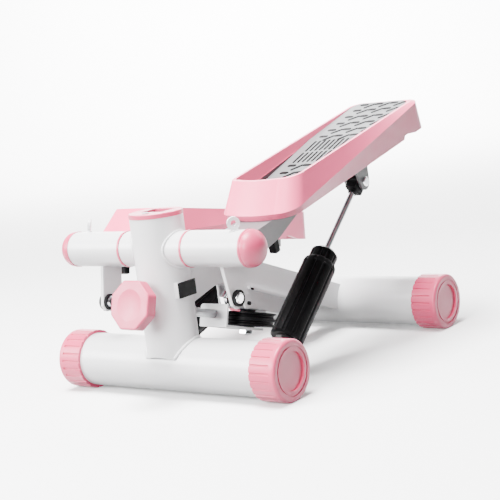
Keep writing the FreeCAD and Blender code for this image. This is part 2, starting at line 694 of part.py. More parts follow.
def pedal_tray(side):
    """Moulded tray: sloping rim, a bent floor sunk inside it, hollow and ribbed beneath."""
    bottom = tray_section(side, 6.0, (PEDAL_FRONT + 4, PEDAL_REAR), PEDAL_BOTTOM)
    widest_y = (PEDAL_FRONT, RIM_REAR + 6.0)
    widest = tray_section(side, 0.0, widest_y, WIDEST_FRONT_Z, WIDEST_SLOPE_DEG)
    rim = tray_section(side, RIM_INSET, (RIM_FRONT, RIM_REAR), PEDAL_RIM, 0.0, 0.83)
    tray = Part.makeLoft([bottom, widest], True, True)
    tray = tray.fuse(Part.makeLoft([widest, rim], True, True))
    rear = FLOOR_REAR_Y
    ledge = tray_section(side, RIM_INSET + 4.0, (LEDGE_FRONT[0], rear), LEDGE_FRONT[1],
                         FLOOR_SLOPE_DEG, 0.75)
    mouth = tray_section(side, RIM_INSET + 3.0, (RIM_FRONT + 3.5, rear), PEDAL_RIM + 6, 0.0, 0.75)
    tray = tray.cut(Part.makeLoft([ledge, mouth], True, True))
    tray = tray.cut(well_block(side).common(floor_band(0.0, 30.0)))
    under = tray_section(side, 10.5, (PEDAL_FRONT + 9, PEDAL_REAR - 9), PEDAL_BOTTOM - 1, 0.0, 0.83)
    roof = tray_section(side, 10.5, (CEILING_FRONT[0], rear), CEILING_FRONT[1],
                        CEILING_SLOPE_DEG, 0.75)
    tray = tray.cut(Part.makeLoft([under, roof], True, True))
    middle = (ARM_X[0] + ARM_X[1]) / 2
    for x, y in bolt_places():
        tray = tray.fuse(rod(V(x, y, PEDAL_BOTTOM), V(x, y, ceiling(y) + 1.0), 7.0))
    for y in (150.0, 205.0, 260.0):
        rib = box((middle - 30, middle + 42), (y - 1.5, y + 1.5), (PEDAL_BOTTOM, ceiling(y) + 0.5))
        tray = tray.fuse(rib)
    tray = tray.cut(x_prism(TRAY_NOTCH, (0, 200))).removeSplitter()
    for x, y in bolt_places():
        tray = tray.cut(rod(V(x, y, 0), V(x, y, PEDAL_BOTTOM + BOLT_DEPTH + 1), 3.0))
    return tray


def pedal_pad(side):
    """Rubber mat over the whole floor, bent where the floor is."""
    return well_block(side, 0.4).common(floor_band(0.0, PAD_THICKNESS))


def pedal_bolts():
    bolts = []
    under = PEDAL_BOTTOM - ARM_SHEET
    for x, y in bolt_places():
        shank = rod(V(x, y, under), V(x, y, PEDAL_BOTTOM + BOLT_DEPTH), 3.0)
        head = hexagon(10, 4, V(x, y, under - 4), Z_AXIS)
        bolts.append(fuse([shank, head]))
    return Part.makeCompound(bolts)


def stop_bumper():
    top = PEDAL_BOTTOM - ARM_SHEET
    block = box(BUMPER_X, BUMPER_Y, (BUMPER_BOTTOM, top))
    lower = [e for e in block.Edges if abs(e.CenterOfMass.z - BUMPER_BOTTOM) < 0.1]
    return block.makeChamfer(1.2, lower)


def damper_ears():
    """Two plates hung from the arm's channel, round the damper's upper pin."""
    y, z = DAMPER_TOP
    ears = []
    for side in (-1, 1):
        inner = DAMPER_X + side * EAR_GAP
        outer = DAMPER_X + side * (EAR_GAP + EAR_SHEET)
        x = (min(inner, outer), max(inner, outer))
        top = PEDAL_BOTTOM - ARM_SHEET
        web = x_prism([(y - EAR_R, z), (y + EAR_R, z), (y + 16, top), (y - 16, top)], x)
        ear = fuse([web, x_rod(x, y, z, EAR_R)])
        ears.append(ear.cut(x_rod((0, 200), y, z, DAMPER_PIN_R)))
    return Part.makeCompound(ears)


def damper_top_pin():
    return clevis_pin(DAMPER_X, DAMPER_TOP[0], DAMPER_TOP[1])


# ---------------------------------------------------------------- dampers (own frame, Z up the axis)

def on_damper(shape, side):
    """Stand a shape from the damper's frame (lower pin at its origin) on one side."""
    pin_y, pin_z = pedal_point(DAMPER_TOP[0], DAMPER_TOP[1], side)
    foot_y, foot_z = DAMPER_FOOT
    lean = math.degrees(math.atan2(pin_z - foot_z, pin_y - foot_y)) - 90.0
    placed = shape.copy()
    placed.rotate(V(0, 0, 0), X_AXIS, lean)
    x = DAMPER_X if side == "right" else -DAMPER_X
    placed.translate(V(x, foot_y, foot_z))
    return placed


def damper_length(side):
    pin_y, pin_z = pedal_point(DAMPER_TOP[0], DAMPER_TOP[1], side)
    return math.hypot(pin_y - DAMPER_FOOT[0], pin_z - DAMPER_FOOT[1])


def z_rod(z, radius):
    return Part.makeCylinder(radius, z[1] - z[0], V(0, 0, z[0]), Z_AXIS)


def damper_barrel():
    """Closed steel cylinder with an eye at its foot and a rod seal at its head."""
    half = EAR_GAP - 1.0
    eye = x_rod((-half, half), 0, 0, 9.0)
    neck = z_rod((4, BARREL_START + 1), 6.0)
    tube = z_rod((BARREL_START, BARREL_END), BARREL_R)
    seal = z_rod((BARREL_END, BARREL_END + 4), 6.0)
    whole = fuse([eye, neck, tube, seal])
    whole = whole.cut(x_rod((-20, 20), 0, 0, DAMPER_PIN_R + RUNNING_GAP))
    whole = whole.cut(z_rod((BARREL_START + 4, BARREL_END - 4), BARREL_BORE))
    return whole.cut(z_rod((BARREL_START + 6, BARREL_END + 10), ROD_R + RUNNING_GAP))


def damper_cover():
    """Plastic cover over the barrel: fluted lengthwise, with a narrower, chamfered head."""
    start, end = BARREL_START + 1, BARREL_END + 0.5
    low, high = COVER_STEP
    body = z_rod((start, low), COVER_R)
    bottom = [e for e in body.Edges if abs(e.CenterOfMass.z - start) < 0.1]
    body = body.makeChamfer(2.5, bottom)
    step = Part.makeCone(COVER_R, COVER_HEAD_R, high - low, V(0, 0, low), Z_AXIS)
    head = z_rod((high, end), COVER_HEAD_R)
    top = [e for e in head.Edges if abs(e.CenterOfMass.z - end) < 0.1]
    head = head.makeChamfer(4.0, top)
    cover = fuse([body, step, head])
    for i in range(COVER_FLUTES):
        angle = 2 * math.pi * i / COVER_FLUTES
        for radius, z in ((COVER_R, (start - 1, low)), (COVER_HEAD_R, (high, end - 6))):
            centre = V((radius + 1.6) * math.cos(angle), (radius + 1.6) * math.sin(angle), z[0])
            cover = cover.cut(Part.makeCylinder(2.8, z[1] - z[0], centre, Z_AXIS))
    cover = cover.cut(z_rod((0, BARREL_END), BARREL_R))
    return cover.cut(z_rod((0, 200), 6.0))


def damper_rod(side):
    """Piston rod, from its piston in the barrel to the rod end."""
    end = damper_length(side) - 11.0
    foot = damper_length(side) - ROD_LENGTH
    piston = z_rod((foot, foot + 12), BARREL_BORE - RUNNING_GAP)
    return fuse([piston, z_rod((foot, end), ROD_R)])


def damper_rod_end(side):
    """Block on the rod, whose eye has room for the swing of the pedal's arc."""
    top = damper_length(side)
    half = EAR_GAP - 1.0
    eye = x_rod((-half, half), 0, top, 9.8)
    block = box((-half, half), (-8.5, 8.5), (top - 14.5, top))
    taper = Part.makeCone(5.0, 7.0, 4.5, V(0, 0, top - 18.5), Z_AXIS)
    whole = fuse([eye, block, taper])
    whole = whole.cut(x_rod((-20, 20), 0, top, DAMPER_PIN_R + DAMPER_EYE_PLAY))
    return whole.cut(z_rod((top - 40, top - 11), ROD_R))


# ---------------------------------------------------------------- write every node

def write_frame():
    save("front_foot_tube", foot_tube(FRONT_Y, FRONT_HALF_WIDTH))
    save("rear_foot_tube", foot_tube(REAR_Y, REAR_HALF_WIDTH))
    for place, y, half_width in (("front", FRONT_Y, FRONT_HALF_WIDTH),
                                 ("rear", REAR_Y, REAR_HALF_WIDTH)):
        save(place + "_end_caps", both_sides(end_cap(y, half_width)))
    save("column", column())
    save("cross_tube", cross_tube())
    save("axle_shaft", axle_shaft())
    save("axle_caps", both_sides(axle_cap()))
    save("main_beam", main_beam())
    save("beam_lip", lip_bar())
    save("side_plates", side_plates())
    save("neck_gussets", neck_gussets())
    save("side_stub", side_stub())
    save("stub_plug", stub_plug())
    save("screw_guide", screw_guide())
    save("damper_brackets", both_sides(damper_bracket()))
    save("damper_lower_pins", damper_lower_pins())
    save("display_bezel", display_bezel())
    save("display_lens", display_lens())
    save("display_module", display_module())
    save("display_button", display_button())


def write_adjuster():
    save("step_knob", knob())
    save("adjusting_screw", adjusting_screw())
    save("pulley_carrier", pulley_carrier())
    save("rope_pulley", rope_pulley())
    save("pulley_bolt", pulley_bolt())


def write_side(side):
    on_this_pedal = {
        "sleeve": sleeve(),
        "sleeve_bushes": sleeve_bushes(),
        "eye_hook": eye_hook(),
        "lever_plate": lever_plate(),
        "lever_rings": lever_rings(),
        "lever_bolt": lever_bolt(),
        "pedal_arm": pedal_arm(),
        "pedal_tray": pedal_tray(side),
        "pedal_pad": pedal_pad(side),
        "pedal_bolts": pedal_bolts(),
        "stop_bumper": stop_bumper(),
        "damper_ears": damper_ears(),
        "damper_top_pin": damper_top_pin(),
    }
    for name, shape in on_this_pedal.items():
        save(side + "_" + name, on_pedal(shape, side))
    save(side + "_damper_barrel", on_damper(damper_barrel(), side))
    save(side + "_damper_cover", on_damper(damper_cover(), side))
    save(side + "_damper_rod", on_damper(damper_rod(side), side))
    save(side + "_damper_rod_end", on_damper(damper_rod_end(side), side))


os.makedirs("parts", exist_ok=True)
write_frame()
write_adjuster()
for side_name in ("right", "left"):
    write_side(side_name)
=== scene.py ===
import json
import math

import bmesh
import bpy
from mathutils import Matrix, Vector


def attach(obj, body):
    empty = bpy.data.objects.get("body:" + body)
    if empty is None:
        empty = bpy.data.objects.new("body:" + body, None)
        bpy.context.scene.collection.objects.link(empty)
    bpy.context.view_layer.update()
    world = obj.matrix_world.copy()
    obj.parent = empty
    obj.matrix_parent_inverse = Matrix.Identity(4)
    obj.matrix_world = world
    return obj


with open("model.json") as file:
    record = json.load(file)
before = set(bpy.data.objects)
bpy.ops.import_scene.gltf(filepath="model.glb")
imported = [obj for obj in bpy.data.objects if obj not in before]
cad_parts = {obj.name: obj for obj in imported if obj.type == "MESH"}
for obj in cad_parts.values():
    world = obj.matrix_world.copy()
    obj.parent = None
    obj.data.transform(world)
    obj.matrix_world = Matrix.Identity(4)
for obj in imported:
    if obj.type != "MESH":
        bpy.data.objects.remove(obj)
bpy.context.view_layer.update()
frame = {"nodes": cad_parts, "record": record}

nodes = frame["nodes"]

# Lengths are in metres and named angles in degrees. Places repeat the CAD's own sizes.

SIDES = ("right", "left")

# ---------------------------------------------------------------- camera

CAMERA_PLACE = (0.9488, -1.2028, 0.3653)
CAMERA_YAW = 38.12                # turned from +Y towards -X
CAMERA_DIP = 8.66                 # looks down by this much
CAMERA_ROLL = 6.99
LENS_MM = 94.59
SENSOR_MM = 36.0


def aim_camera():
    """A long lens from the machine's front right, rolled slightly."""
    yaw, dip, roll = (math.radians(angle) for angle in (CAMERA_YAW, CAMERA_DIP, CAMERA_ROLL))
    look = Vector((-math.sin(yaw) * math.cos(dip), math.cos(yaw) * math.cos(dip),
                   -math.sin(dip)))
    level = look.cross(Vector((0, 0, 1))).normalized()
    rise = level.cross(look)
    right = math.cos(roll) * level - math.sin(roll) * rise
    up = math.sin(roll) * level + math.cos(roll) * rise
    data = bpy.data.cameras.new("camera")
    data.lens, data.sensor_width = LENS_MM, SENSOR_MM
    data.clip_start, data.clip_end = 0.05, 30.0
    camera = bpy.data.objects.new("camera", data)
    place = Matrix((right, up, -look)).transposed().to_4x4()
    place.translation = Vector(CAMERA_PLACE)
    camera.matrix_world = place
    bpy.context.scene.collection.objects.link(camera)
    bpy.context.scene.camera = camera


# ---------------------------------------------------------------- materials

WHITE = (0.70, 0.70, 0.71)
GREY = (0.135, 0.135, 0.14)
PINK = (0.60, 0.055, 0.140)
PALE_PINK = (0.84, 0.112, 0.235)
# Painted shade: a dark maroon that stands in for the shadow on each pedal well's lower wall.
SHADE_MAROON = (0.060, 0.018, 0.028)
BLACK = (0.004, 0.004, 0.0044)
RUBBER_BLACK = (0.005, 0.005, 0.0055)
BUTTON_GREY = (0.42, 0.42, 0.44)
PAD_GREY = (0.145, 0.147, 0.152)
CHROME = (0.74, 0.74, 0.76)
STEEL = (0.48, 0.485, 0.50)
DARK_GLASS = (0.030, 0.016, 0.020)
LIGHTER_GLASS = (0.045, 0.024, 0.030)
PAPER = (0.95, 0.95, 0.95)
LIGHTER_PAPER = (0.97, 0.97, 0.97)


class Nodes:
    """A short way to build one material's node tree."""

    def __init__(self, name):
        self.material = bpy.data.materials.new(name)
        self.material.use_nodes = True
        self.tree = self.material.node_tree
        self.tree.nodes.clear()
        output = self.tree.nodes.new("ShaderNodeOutputMaterial")
        self.shader = self.tree.nodes.new("ShaderNodeBsdfPrincipled")
        self.link(self.shader.outputs[0], output.inputs["Surface"])
        self.place = self.tree.nodes.new("ShaderNodeTexCoord").outputs["Object"]

    def link(self, source, target):
        self.tree.links.new(source, target)

    def feed(self, socket, value):
        """Put a number, a colour or another node's output into a socket."""
        if isinstance(value, (int, float, tuple)):
            socket.default_value = value
        else:
            self.link(value, socket)

    def set(self, **values):
        """Fill the shader's inputs by name, with _ for a space."""
        for key, value in values.items():
            self.feed(self.shader.inputs[key.replace("_", " ")], value)

    def noise(self, scale, detail=3.0, rough=0.5, place=None):
        node = self.tree.nodes.new("ShaderNodeTexNoise")
        node.inputs["Scale"].default_value = scale
        node.inputs["Detail"].default_value = detail
        node.inputs["Roughness"].default_value = rough
        self.link(place or self.place, node.inputs["Vector"])
        return node.outputs["Fac"]

    def spread(self, value, low, high, start=0.3, end=0.7):
        """Stretch start..end of a value over low..high."""
        node = self.tree.nodes.new("ShaderNodeMapRange")
        node.inputs["From Min"].default_value = start
        node.inputs["From Max"].default_value = end
        node.inputs["To Min"].default_value = low
        node.inputs["To Max"].default_value = high
        self.link(value, node.inputs["Value"])
        return node.outputs["Result"]

    def mix(self, factor, first, second):
        """Blend two colours. A Mix node's colours are its inputs 6 and 7 and its output 2."""
        node = self.tree.nodes.new("ShaderNodeMix")
        node.data_type = "RGBA"
        self.link(factor, node.inputs["Factor"])
        self.feed(node.inputs[6], first)
        self.feed(node.inputs[7], second)
        return node.outputs[2]

    def share(self, value, factor):
        node = self.tree.nodes.new("ShaderNodeMath")
        node.operation = "MULTIPLY"
        self.link(value, node.inputs[0])
        node.inputs[1].default_value = factor
        return node.outputs[0]

    def bump(self, height, depth, strength, under=None):
        node = self.tree.nodes.new("ShaderNodeBump")
        node.inputs["Distance"].default_value = depth
        node.inputs["Strength"].default_value = strength
        self.link(height, node.inputs["Height"])
        if under is not None:
            self.link(under, node.inputs["Normal"])
        return node.outputs[0]


def shade(colour, factor=1.0):
    return tuple(min(1.0, part * factor) for part in colour) + (1.0,)


def painted(name, colour, rough=0.34):
    """Powder coat: faint orange peel, small specks and slightly uneven gloss."""
    n = Nodes(name)
    broad = n.spread(n.noise(9.0), 0.0, 1.0)
    body = n.mix(broad, shade(colour, 0.975), shade(colour, 1.015))
    specks = n.spread(n.noise(900.0, detail=2.0), 0.0, 1.0, start=0.66, end=0.78)
    body = n.mix(n.share(specks, 0.10), body, shade(colour, 0.86))
    gloss = n.spread(n.noise(60.0, detail=4.0), rough - 0.05, rough + 0.07)
    peel = n.bump(n.noise(420.0, detail=2.0), depth=0.00012, strength=0.35)
    wave = n.bump(n.noise(26.0, detail=2.0), depth=0.0005, strength=0.10, under=peel)
    n.set(Base_Color=body, Roughness=gloss, Normal=wave)
    n.set(Coat_Weight=0.18, Coat_Roughness=0.22, IOR=1.5)
    return n.material


def moulded(name, colour, rough=0.36, grain=0.00010, specular=0.5):
    """Moulded plastic or rubber: fine spark texture, soft mottling and uneven gloss."""
    n = Nodes(name)
    broad = n.spread(n.noise(14.0), 0.0, 1.0)
    body = n.mix(broad, shade(colour, 0.965), shade(colour, 1.02))
    flecks = n.spread(n.noise(700.0, detail=2.0), 0.0, 1.0, start=0.62, end=0.74)
    body = n.mix(n.share(flecks, 0.06), body, shade(colour, 0.80))
    gloss = n.spread(n.noise(80.0, detail=4.0), rough - 0.05, rough + 0.08)
    fine = n.bump(n.noise(1500.0, detail=2.0), depth=grain, strength=0.5)
    flow = n.bump(n.noise(18.0, detail=2.0), depth=0.0006, strength=0.08, under=fine)
    n.set(Base_Color=body, Roughness=gloss, Normal=flow)
    n.set(Coat_Weight=0.24 * specular, Coat_Roughness=0.25, IOR=1.48)
    n.set(Specular_IOR_Level=specular)
    return n.material


def plated(name, colour, rough):
    """Bright metal with fine turning marks and faint smudges."""
    n = Nodes(name)
    stretch = n.tree.nodes.new("ShaderNodeMapping")
    stretch.inputs["Scale"].default_value = (1.0, 0.15, 1.0)
    n.link(n.place, stretch.inputs["Vector"])
    lines = n.noise(300.0, rough=0.6, place=stretch.outputs[0])
    smudge = n.noise(35.0, detail=4.0)
    body = n.mix(n.spread(smudge, 0.0, 1.0), shade(colour, 0.92), shade(colour, 1.03))
    gloss = n.spread(smudge, rough * 0.7, rough * 1.5)
    turned = n.bump(lines, depth=0.00004, strength=0.35)
    n.set(Base_Color=body, Roughness=gloss, Normal=turned, Metallic=1.0)
    return n.material


def smoked_glass(name):
    """Dark glossy window with a faint wave in it."""
    n = Nodes(name)
    tint = n.mix(n.spread(n.noise(40.0), 0.0, 1.0), shade(DARK_GLASS), shade(LIGHTER_GLASS))
    gloss = n.spread(n.noise(120.0, detail=4.0), 0.05, 0.14)
    wave = n.bump(n.noise(60.0), depth=0.00005, strength=0.2)
    n.set(Base_Color=tint, Roughness=gloss, Normal=wave)
    n.set(Coat_Weight=0.6, Coat_Roughness=0.05, IOR=1.5)
    return n.material


def paper(name):
    """Matt backdrop paper, very slightly uneven."""
    n = Nodes(name)
    tone = n.mix(n.spread(n.noise(1.2), 0.0, 1.0), shade(PAPER), shade(LIGHTER_PAPER))
    n.set(Base_Color=tone, Roughness=0.9)
    return n.material


looks = {
    "white_paint": painted("white_paint", WHITE),
    "grey_paint": painted("grey_paint", GREY, rough=0.42),
    "black_paint": painted("black_paint", BLACK, rough=0.36),
    "pink_plastic": moulded("pink_plastic", PINK),
    "pink_tray": moulded("pink_tray", PALE_PINK),
    # Painted shade for the dark strip on each pedal well's lower wall.
    "painted_shade": moulded("painted_shade", SHADE_MAROON, rough=0.5),
    "black_plastic": moulded("black_plastic", BLACK, rough=0.38, grain=0.00012, specular=0.07),
    "grey_plastic": moulded("grey_plastic", BUTTON_GREY, rough=0.45),
    "black_rubber": moulded("black_rubber", RUBBER_BLACK, rough=0.62, grain=0.0002,
                            specular=0.08),
    "grip_pad": moulded("grip_pad", PAD_GREY, rough=0.6, grain=0.0002),
    "chrome": plated("chrome", CHROME, rough=0.10),
    "steel": plated("steel", STEEL, rough=0.26),
    "display_window": smoked_glass("display_window"),
}

slots = {part["node"]: part["material_slot"] for part in frame["record"]["subparts"]}


def dress_nodes():
    """Give every CAD node its look; the trays are a paler pink than the caps and the knob."""
    for name, piece in nodes.items():
        look = looks["pink_tray"] if name.endswith("_tray") else looks[slots[name]]
        if piece.material_slots:
            for place in piece.material_slots:
                place.material = look
        else:
            piece.data.materials.append(look)


# ---------------------------------------------------------------- shapes

PIVOT_Y, PIVOT_Z = -0.151, 0.1635
REST_ANGLE = {"right": 12.0, "left": -10.3}


def spaced(start, end, count):
    """Evenly spaced values from start to end, both included."""
    return [start + (end - start) * k / (count - 1) for k in range(count)]


def full_turn(count):
    """Angles evenly round a circle, in radians."""
    return [2 * math.pi * k / count for k in range(count)]


def between(u, start, end):
    """Height at u on the straight line through two (u, height) points."""
    return start[1] + (u - start[0]) * (end[1] - start[1]) / (end[0] - start[0])


def pedal_point(side, x, u, w):
    """A point given in a pedal's frame, where u runs along the pedal and w is square to it."""
    angle = math.radians(REST_ANGLE[side])
    y = PIVOT_Y + u * math.cos(angle) - w * math.sin(angle)
    z = PIVOT_Z + u * math.sin(angle) + w * math.cos(angle)
    return Vector((x if side == "right" else -x, y, z))


def skin(rings, closed=False):
    """Join equal rings in a row: the last to the first if closed, else with flat ends."""
    size = len(rings[0])
    points = [point for ring in rings for point in ring]
    faces = []
    for i in range(len(rings) if closed else len(rings) - 1):
        low, high = i * size, (i + 1) % len(rings) * size
        for k in range(size):
            after = (k + 1) % size
            faces.append((low + k, low + after, high + after, high + k))
    if not closed:
        faces.append(tuple(range(size)))
        faces.append(tuple(range(len(points) - size, len(points))))
    return points, faces


def join_shapes(shapes):
    points, faces = [], []
    for some_points, some_faces in shapes:
        start = len(points)
        points += some_points
        faces += [tuple(start + index for index in face) for face in some_faces]
    return points, faces


def make_piece(name, shape, look, body="root", smooth=True):
    """Turn points and faces into a mesh that rides on one of the model's bodies."""
    points, faces = shape
    mesh = bpy.data.meshes.new(name)
    mesh.from_pydata([tuple(point) for point in points], [], faces)
    mesh.update()
    builder = bmesh.new()
    builder.from_mesh(mesh)
    bmesh.ops.recalc_face_normals(builder, faces=builder.faces)
    builder.to_mesh(mesh)
    builder.free()
    for face in mesh.polygons:
        face.use_smooth = smooth
    piece = bpy.data.objects.new(name, mesh)
    bpy.context.scene.collection.objects.link(piece)
    mesh.materials.append(looks[look])
    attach(piece, body)


# ---------------------------------------------------------------- weld beads

COLUMN_Y, COLUMN_R = -0.150, 0.0295
FRONT_FOOT_Y, FRONT_FOOT_Z, FRONT_FOOT_R = -0.145, 0.033, 0.030
BEAM_HALF_WIDTH = 0.018
BEAM_SLOPE = 0.385                # fall towards the rear
BEAM_TOP_AT_ORIGIN = 0.1184
BEAM_DEPTH = 0.035
CROSS_WELD_R = 0.0197
ARM_WELD_X = (0.0705, 0.1155)
ARM_WELD_U, ARM_WELD_W = 0.01745, 0.0094
EYE_X = 0.1085
EYE_LEAN = -5.0                   # from straight up on the sleeve
EYE_TWIST = 50.0
EYE_FOOT = (0.0046, 0.0025)       # half length and half width of the eye's foot
EYE_FOOT_R = 0.0196               # distance of the foot from the pivot's axis

LIFT = 0.0003                     # a bead's middle stands this far off the surfaces
BEAM_LIFT = 0.0004
SMALL_BEAD, BEAD, THICK_BEAD = 0.0011, 0.0016, 0.0020
BEAD_SIDES = 10
BEAD_RIPPLE = 0.16                # share of its radius by which a bead swells and shrinks
BEAD_PITCH = 0.0022
BEAD_END = 0.35                   # share of its radius left at an open bead's ends


def bead(path, radius, closed=True):
    """A weld bead along a path: a round sweep whose radius rises and falls like laid metal."""
    reference = Vector((0.31, 0.52, 0.79))     # square to none of the paths' directions
    last = len(path) - 1
    rings = []
    run = 0.0
    for i, point in enumerate(path):
        before = path[i - 1] if closed or i > 0 else point
        after = path[(i + 1) % len(path)] if closed or i < last else point
        along = (after - before).normalized()
        first = (reference - reference.dot(along) * along).normalized()
        second = along.cross(first)
        if i > 0:
            run += (point - before).length
        swell = radius * (1.0 + BEAD_RIPPLE * math.sin(2 * math.pi * run / BEAD_PITCH))
        if not closed and i in (0, last):
            swell *= BEAD_END
        rings.append([point + swell * (math.cos(turn) * first + math.sin(turn) * second)
                      for turn in full_turn(BEAD_SIDES)])
    return skin(rings, closed)


def cross_tube_weld(sign):
    """Where the pivot's cross tube meets the column, on one side."""
    path = []
    for turn in full_turn(160):
        y = PIVOT_Y + CROSS_WELD_R * math.cos(turn)
        z = PIVOT_Z + CROSS_WELD_R * math.sin(turn)
        x = math.sqrt((COLUMN_R + LIFT) ** 2 - (y - COLUMN_Y) ** 2)
        path.append(Vector((sign * x, y, z)))
    return bead(path, BEAD)


def saddle_weld():
    """Where the column stands on the front foot tube, round its back and sides."""
    path = []
    for turn in spaced(math.radians(-50.0), math.radians(230.0), 170):
        x = (COLUMN_R + LIFT) * math.cos(turn)
        y = COLUMN_Y + (COLUMN_R + LIFT) * math.sin(turn)
        rise = (FRONT_FOOT_R + LIFT) ** 2 - (y - FRONT_FOOT_Y) ** 2
        if rise > 0:
            path.append(Vector((x, y, FRONT_FOOT_Z + math.sqrt(rise))))
    return bead(path, THICK_BEAD, closed=False)


def beam_weld(sign):
    """Down one side of the beam where it meets the column."""
    x = BEAM_HALF_WIDTH + LIFT
    y = COLUMN_Y + math.sqrt(COLUMN_R ** 2 - x ** 2)
    top = BEAM_TOP_AT_ORIGIN - BEAM_SLOPE * y
    path = [Vector((sign * x, y + BEAM_LIFT, z)) for z in spaced(top, top - BEAM_DEPTH, 70)]
    return bead(path, BEAD, closed=False)


def beam_top_weld():
    """Across the beam's top, round the back of the column."""
    path = []
    for x in spaced(-BEAM_HALF_WIDTH, BEAM_HALF_WIDTH, 70):
        y = COLUMN_Y + math.sqrt((COLUMN_R + BEAM_LIFT) ** 2 - x ** 2)
        path.append(Vector((x, y, BEAM_TOP_AT_ORIGIN - BEAM_SLOPE * y + BEAM_LIFT)))
    return bead(path, BEAD, closed=False)


def add_frame_welds():
    shapes = [cross_tube_weld(1), cross_tube_weld(-1), saddle_weld(), beam_weld(1),
              beam_weld(-1), beam_top_weld()]
    make_piece("frame_welds", join_shapes(shapes), "white_paint")


def eye_weld(side):
    """Small bead round the foot of the cord eye on the sleeve."""
    twist, lean = math.radians(EYE_TWIST), math.radians(EYE_LEAN)
    path = []
    for turn in full_turn(60):
        along, across = EYE_FOOT[0] * math.cos(turn), EYE_FOOT[1] * math.sin(turn)
        x = EYE_X + along * math.cos(twist) - across * math.sin(twist)
        off = along * math.sin(twist) + across * math.cos(twist)
        out = math.sqrt(EYE_FOOT_R ** 2 - off ** 2)
        path.append(pedal_point(side, x, off * math.cos(lean) - out * math.sin(lean),
                                off * math.sin(lean) + out * math.cos(lean)))
    return bead(path, SMALL_BEAD)


def arm_weld(side):
    """Where the pedal's arm meets the sleeve, across the top."""
    path = [pedal_point(side, x, ARM_WELD_U, ARM_WELD_W) for x in spaced(*ARM_WELD_X, 90)]
    return bead(path, BEAD, closed=False)


def add_pedal_welds():
    for side in SIDES:
        make_piece(side + "_eye_weld", eye_weld(side), "white_paint", side + "_pedal")
        make_piece(side + "_arm_weld", arm_weld(side), "white_paint", side + "_pedal")


# ---------------------------------------------------------------- pedal well and pad

TRAY_X = (0.050, 0.146)
WELL_WALL = 0.0095                # from the tray's outside to its well
WELL_CORNERS = {"right": (0.0072, 0.0173), "left": (0.0173, 0.0072)}     # inner, outer radius
WELL_BOW = 0.0035                 # the front wall bulges forward by this much
LEDGE_FRONT = (0.081, 0.0290)     # foot of the tray's sloping inner wall: u, w
LEDGE_BEND = (0.235, 0.0387)
PAD_FRONT = (0.0816, 0.0205)      # top of the pad: u, w
PAD_BEND = (0.235, 0.0407)
PAD_REAR = (0.3454, 0.0477)
SHADE_STRIP_INSETS = (0.00952, 0.00982)     # the painted shade strip's two faces, from the tray's outside
SHADE_STRIP_REAR = 0.234

MARK_HEIGHT = 0.0005
MARK_SINK = 0.0001
MARK_TOP = 0.93                   # size of a mark's top against its foot
MARK_X = (0.0765, 0.0975, 0.1185)
REAR_ROWS = (0.3385, 0.3200, 0.2995, 0.2790, 0.2585, 0.2390)
FRONT_ROWS = (0.1655, 0.1480, 0.1300, 0.1120)
DASH_HALF, DASH_WIDTH = 0.0034, 0.0052
TAIL_START, TAIL_END, TAIL_WIDTH = (0.0062, -0.0100), (0.0142, -0.0002), 0.0042
STRIPE_BANDS = ((0.1735, 0.023), (0.2020, 0.024))     # start and length
STRIPES = 9
STRIPE_X, STRIPE_PITCH, STRIPE_WIDTH = 0.0735, 0.0062, 0.0026
STRIPE_LEAD = 0.0004              # each stripe starts this much behind the last


def pad_surface(u):
    """Height of the pad's top: it climbs steeply at the front, then more gently."""
    if u < PAD_BEND[0]:
        return between(u, PAD_FRONT, PAD_BEND)
    return between(u, PAD_BEND, PAD_REAR)


def well_outline(side, inset):
    """The well's upright wall as (x, u) points, from the pad's bend round the front and back."""
    x0, x1 = TRAY_X[0] + inset, TRAY_X[1] - inset
    front = PAD_FRONT[0] + inset - WELL_WALL
    inner, outer = WELL_CORNERS[side]
    quarter = spaced(0.0, math.pi / 2, 9)
    outline = [(x0, u) for u in spaced(SHADE_STRIP_REAR, front + inner, 25)]
    for turn in quarter[1:]:
        outline.append((x0 + inner - inner * math.cos(turn),
                        front + inner - inner * math.sin(turn)))
    for share in spaced(0.0, 1.0, 13)[1:-1]:
        bow = WELL_BOW * 4 * share * (1 - share)
        outline.append((x0 + inner + (x1 - outer - x0 - inner) * share, front - bow))
    for turn in quarter:
        outline.append((x1 - outer + outer * math.sin(turn),
                        front + outer - outer * math.cos(turn)))
    outline += [(x1, u) for u in spaced(front + outer, SHADE_STRIP_REAR, 25)[1:]]
    return outline


def well_shade_strip(side):
    """Thin dark strip of painted shade on the upright wall between the sloping rim and the pad,
    where the well lies in shadow.
    """
    outlines = [well_outline(side, inset) for inset in SHADE_STRIP_INSETS]
    rings = []
    for (wall_x, wall_u), (x, u) in zip(*outlines):
        low = pad_surface(wall_u) - 0.0003
        high = max(low + 0.0004, between(wall_u, LEDGE_FRONT, LEDGE_BEND) - 0.0002)
        rings.append([pedal_point(side, wall_x, wall_u, low), pedal_point(side, x, u, low),
                      pedal_point(side, x, u, high), pedal_point(side, wall_x, wall_u, high)])
    return skin(rings)


def add_well_shade_strips():
    for side in SIDES:
        # The dark strip laid here is painted shade on the well's lower wall, not a separate
        # part.
        make_piece(side + "_well_shade_strip", well_shade_strip(side), "painted_shade", side + "_pedal",
                   smooth=False)


